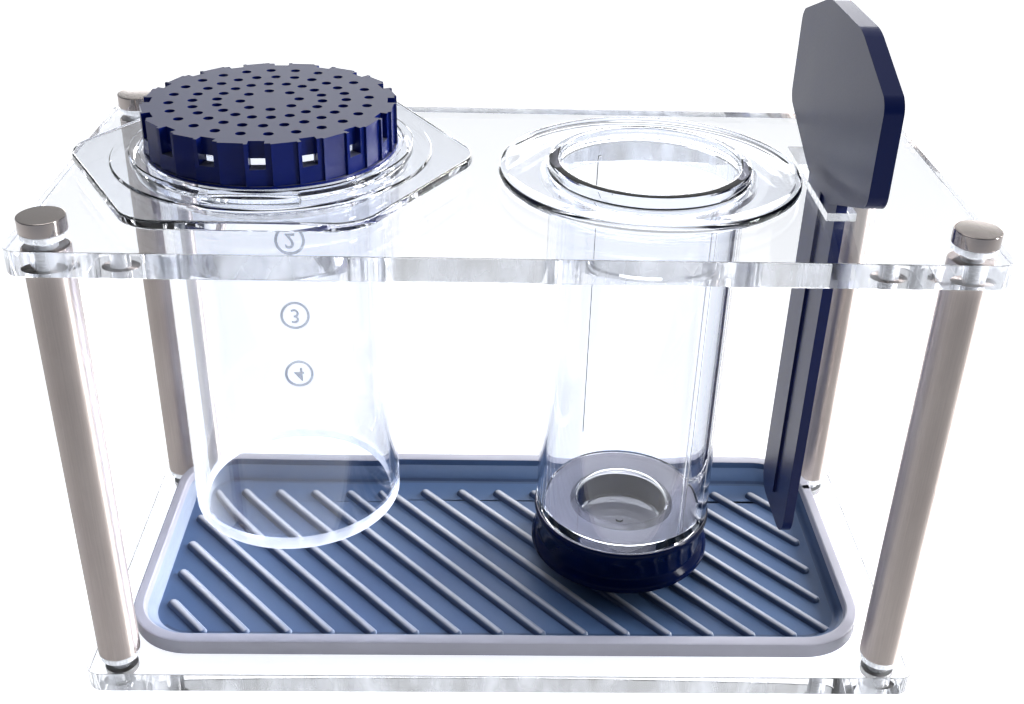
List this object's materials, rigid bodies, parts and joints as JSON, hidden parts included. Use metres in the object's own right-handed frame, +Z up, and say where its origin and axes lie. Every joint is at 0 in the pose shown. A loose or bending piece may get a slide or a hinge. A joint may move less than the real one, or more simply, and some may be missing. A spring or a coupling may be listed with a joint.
{
  "type": "coffee press storage stand",
  "caption": "Clear plate stand on steel posts that stores a hand-pressed coffee maker: chamber with filter cap, plunger and stirrer hang from the top plate over a ribbed drip tray.",
  "frame": {"origin": "under the middle of the stand, on the surface that its four base screw heads stand on", "axes": "+Z up, +X along the long side of the plates, -Y towards the front"},
  "size_m": [0.2524, 0.114, 0.1982],
  "materials": {
    "clear_plate": "clear cast acrylic with polished edges",
    "post_steel": "brushed stainless steel",
    "cap_steel": "turned stainless steel, polished side and satin top",
    "stud_steel": "plain steel thread",
    "clear_washer": "clear soft plastic",
    "clear_plastic": "clear moulded plastic",
    "cap_plastic": "dark moulded plastic, satin top",
    "filter_paper": "thin white filter paper",
    "seal_rubber": "smooth black rubber",
    "stirrer_plastic": "dark slate moulded plastic",
    "tray_silicone": "matt blue-grey silicone"
  },
  "bodies": {
    "stand": {"base_plate": "clear_plate", "top_plate": "clear_plate", "post_front_left": "post_steel", "post_front_right": "post_steel", "post_back_left": "post_steel", "post_back_right": "post_steel", "cap_front_left": "cap_steel", "cap_front_right": "cap_steel", "cap_back_left": "cap_steel", "cap_back_right": "cap_steel", "cap_studs": "stud_steel", "upper_washers": "clear_washer", "lower_washers": "clear_washer", "base_screws": "stud_steel"},
    "chamber": {"chamber": "clear_plastic"},
    "filter_cap": {"filter_cap": "cap_plastic", "paper_filter": "filter_paper"},
    "plunger": {"plunger": "clear_plastic", "plunger_seal": "seal_rubber"},
    "stirrer": {"stirrer": "stirrer_plastic"},
    "drip_tray": {"drip_tray": "tray_silicone"}
  },
  "joints": [
    {"name": "chamber_lift", "type": "slide", "parent": "stand", "child": "chamber", "axis": [0, 0, 1], "range_m": [0, 0.122]},
    {"name": "cap_twist", "type": "hinge", "parent": "chamber", "child": "filter_cap", "pos_m": [-0.0671, 0, 0.16], "axis": [0, 0, 1], "range_deg": [0, 40]},
    {"name": "plunger_lift", "type": "slide", "parent": "stand", "child": "plunger", "axis": [0, 0, 1], "range_m": [0, 0.142]},
    {"name": "stirrer_lift", "type": "slide", "parent": "stand", "child": "stirrer", "axis": [0, 0, 1], "range_m": [0, 0.124]},
    {"name": "tray_lift", "type": "slide", "parent": "stand", "child": "drip_tray", "axis": [0, 0, 1], "range_m": [0, 0.004]}
  ]
}
